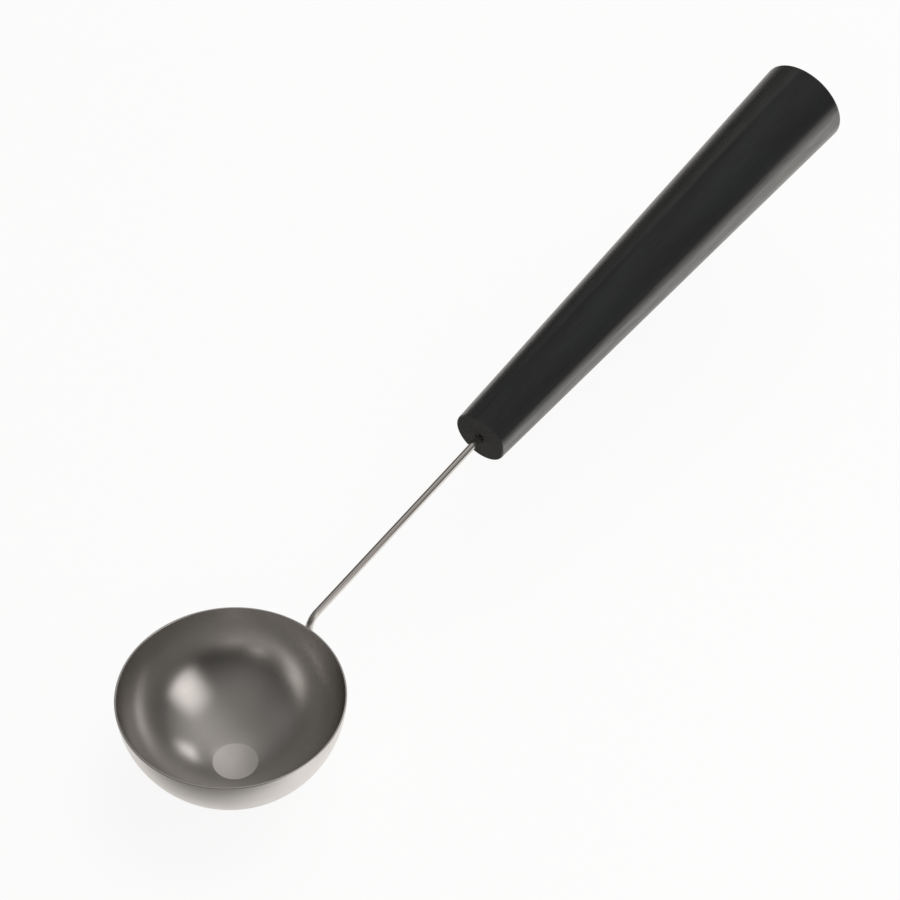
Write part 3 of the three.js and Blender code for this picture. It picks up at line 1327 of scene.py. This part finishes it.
@dataclass(frozen=True)
class Softbox:
    """A rectangular lamp that faces the bowl, bright in its middle and dark at its edges.

    Attributes:
        name: what it does.
        azimuth: degrees from +X towards +Y.
        elevation: degrees above the floor.
        distance: from the aim, in metres.
        width: in metres.
        height: in metres.
        brightness: light that leaves the middle of its face, where 1 is the white of the paper.
        roll: degrees that it is turned about the line to the aim.
        edge: how flat its face is: the light is 1 - t^edge, for t from 0 in the middle to 1 at the edge.
        in_gloss: whether it shows in reflections.
        white: the colour of its light.
    """

    name: str
    azimuth: float
    elevation: float
    distance: float
    width: float
    height: float
    brightness: float
    roll: float = 0.0
    edge: float = 2.0
    in_gloss: bool = True
    white: str = WARM_WHITE

    def build(self, aim: Vector) -> None:
        """Makes the lamp, whose power is brightness times pi times its area.

        Args:
            aim: the point that it faces.
        """
        data = bpy.data.lights.new(self.name, "AREA")
        data.shape = "RECTANGLE"
        data.size = self.width
        data.size_y = self.height
        data.energy = self.brightness * math.pi * self.width * self.height
        data.use_nodes = True
        self.shade(data.node_tree)
        lamp = bpy.data.objects.new(self.name, data)
        away = toward(self.azimuth, self.elevation)
        lamp.location = aim + self.distance * away
        turned = Quaternion((0.0, 0.0, 1.0), math.radians(self.roll))
        lamp.rotation_euler = (away.to_track_quat("Z", "Y") @ turned).to_euler()
        lamp.visible_camera = False
        lamp.visible_glossy = self.in_gloss
        bpy.context.scene.collection.objects.link(lamp)
        log.info("lamp %s", self.name)

    def shade(self, tree: Tree) -> None:
        """Makes the light fall from the middle of the face to its edges.

        Args:
            tree: the lamp's own nodes.
        """
        tree.nodes.clear()
        face = add_node(tree, "NewGeometry")["Parametric"]
        sides = add_node(tree, "SeparateXYZ", (face,))
        strength: Value = 1.0
        for name in ("X", "Y"):
            # From 0 to 1 across the face, to -1 to 1 about its middle.
            centred = add_node(tree, "Math", (sides[name], 2.0, -1.0), operation="MULTIPLY_ADD")[0]
            out = add_node(tree, "Math", (centred,), operation="ABSOLUTE")[0]
            fall = add_node(tree, "Math", (out, self.edge), operation="POWER")[0]
            left = add_node(tree, "Math", (1.0, fall), operation="SUBTRACT")[0]
            strength = add_node(tree, "Math", (left, strength), operation="MULTIPLY")[0]
        glow = add_node(tree, "Emission", {"Color": linear(self.white), "Strength": strength})[0]
        add_node(tree, "OutputLight", {"Surface": glow})


@dataclass(frozen=True)
class Glow:
    """A pale patch of the room: strength times the cosine to its middle, to a power; angles in degrees."""

    azimuth: float
    elevation: float
    strength: float
    power: float


@dataclass(frozen=True)
class Studio:
    """White paper floor with a low wall all round, a dim room above it, and softboxes.

    The floor's sizes are millimetres. The softboxes aim, in metres, at the centre of the bowl's sphere.
    """

    aim: tuple[float, float, float] = (0.0, 0.0, 0.044)
    floor_drop: float = 0.2
    floor_reach: float = 5000.0
    floor_thickness: float = 50.0
    floor_sides: int = 96
    floor_steps: int = 8
    cove_radius: float = 500.0
    cove_steps: int = 12
    wall_height: float = 900.0
    wall_steps: int = 2
    wall_light: float = 0.022
    ceiling_light: float = 0.19
    belt_light: float = 0.022
    glows: tuple[Glow, ...] = (
        Glow(-39.0, 59.5, 0.24, 6.6),
        Glow(52.0, 62.0, 0.14, 16.0),
        Glow(124.0, 38.0, 0.055, 16.0),
        Glow(-157.0, 38.0, 0.05, 9.0),
    )
    paper: WhitePaper = WhitePaper()
    boxes: tuple[Softbox, ...] = (
        Softbox("key_right", -79.7, 24.0, 0.55, 0.434, 0.77, 1.02),
        Softbox("second_right_back", -6.8, 36.0, 1.3, 0.57, 0.44, 1.2, roll=-21.0),
        Softbox("third_back", 34.0, 52.0, 1.3, 0.46, 0.9, 0.32, roll=26.0, edge=4.0),
        Softbox("fill_from_behind", -5.0, 55.0, 2.2, 2.4, 2.4, 2.0, edge=12.0, in_gloss=False, white=WHITE),
        Softbox("fill_from_front", -136.0, 50.0, 2.2, 2.0, 2.0, 1.1, edge=12.0, in_gloss=False, white=WHITE),
    )

    def build(self) -> None:
        """Makes the floor, the room and the lamps."""
        self.floor()
        self.room()
        for box in self.boxes:
            box.build(Vector(self.aim))

    def floor(self) -> None:
        """Makes the paper: a flat, a cove and a low wall, carried round the bowl's axis as a closed slab."""
        low, reach = -self.floor_drop, self.floor_reach
        flat, cove_top = reach - self.cove_radius, low + self.cove_radius
        outside, under = reach + self.floor_thickness, low - self.floor_thickness
        profile = chain(
            straight((0.0, low), (flat, low), self.floor_steps),
            arc((flat, cove_top), self.cove_radius, -QUARTER, 0.0, self.cove_steps),
            straight((reach, cove_top), (reach, self.wall_height), self.wall_steps),
            np.array([[outside, self.wall_height], [outside, under], [0.0, under]]),
        )
        grid = revolve(profile, self.floor_sides, UPRIGHT, Ends.POLES)
        write_piece("paper_floor", grid, self.paper.material())

    def room(self) -> None:
        """Makes the world: dim walls, a paler ceiling, a belt of light half way up, and the glows.

        By a ray's height z from 0 to 1 it is wall + (ceiling - wall) z^2 + 4 belt z^2 (1 - z^2), where the 4
        makes the belt's own light its highest, and the glows are added.
        """
        world = bpy.data.worlds.new("dim_room")
        world.use_nodes = True
        tree = world.node_tree
        tree.nodes.clear()
        ray = add_node(tree, "TexCoord")["Generated"]
        height = add_node(tree, "SeparateXYZ", (ray,))["Z"]
        square = add_node(tree, "Math", (height, height), operation="MULTIPLY")[0]
        plain = add_node(tree, "MapRange", (square, 0.0, 1.0, self.wall_light, self.ceiling_light))[0]
        rest = add_node(tree, "Math", (1.0, square), operation="SUBTRACT")[0]
        belt = add_node(tree, "Math", (square, rest), operation="MULTIPLY")[0]
        strength = add_node(tree, "Math", (belt, 4.0 * self.belt_light, plain), operation="MULTIPLY_ADD")[0]
        for glow in self.glows:
            middle = tuple(toward(glow.azimuth, glow.elevation))
            cosine = add_node(tree, "VectorMath", (ray, middle), operation="DOT_PRODUCT")["Value"]
            facing = add_node(tree, "Math", (cosine, 0.0), operation="MAXIMUM")[0]
            patch = add_node(tree, "Math", (facing, glow.power), operation="POWER")[0]
            strength = add_node(tree, "Math", (patch, glow.strength, strength), operation="MULTIPLY_ADD")[0]
        light = add_node(tree, "Background", {"Color": linear(WARM_WHITE), "Strength": strength})[0]
        add_node(tree, "OutputWorld", {"Surface": light})
        bpy.context.scene.world = world


@dataclass(frozen=True)
class PhotoCamera:
    """The photograph's camera: place, lens and sensor in millimetres, angles in degrees, reach in metres."""

    place: tuple[float, float, float] = (-608.83, -594.06, 1091.44)
    down: float = 47.072
    turn: float = 51.415
    lens: float = 139.38
    sensor: float = 36.0
    reach: float = 50.0

    def build(self) -> None:
        """Makes the camera, which looks down, turned from +Y towards +X."""
        data = bpy.data.cameras.new("photo_camera")
        data.sensor_fit = "HORIZONTAL"
        data.sensor_width = self.sensor
        data.lens = self.lens
        data.clip_end = self.reach
        camera = bpy.data.objects.new("photo_camera", data)
        camera.location = Vector(self.place) * MM
        camera.rotation_euler = (math.radians(90.0 - self.down), 0.0, math.radians(-self.turn))
        bpy.context.scene.collection.objects.link(camera)
        bpy.context.scene.camera = camera


def main() -> None:
    """Loads the frame, then builds the camera, the studio and the ladle piece by piece."""
    logging.basicConfig(level=logging.INFO, format="%(name)s: %(message)s")
    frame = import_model()
    bpy.context.scene.view_settings.view_transform = "Standard"
    PhotoCamera().build()
    Studio().build()
    handle = Handle.from_record(frame["record"])
    bowl = Bowl()
    stem = Stem(bowl, handle)
    grip = Grip(handle)
    for part in (bowl, stem, Welds(stem), grip, Bond(stem, grip)):
        part.build()


if __name__ == "__main__":
    main()
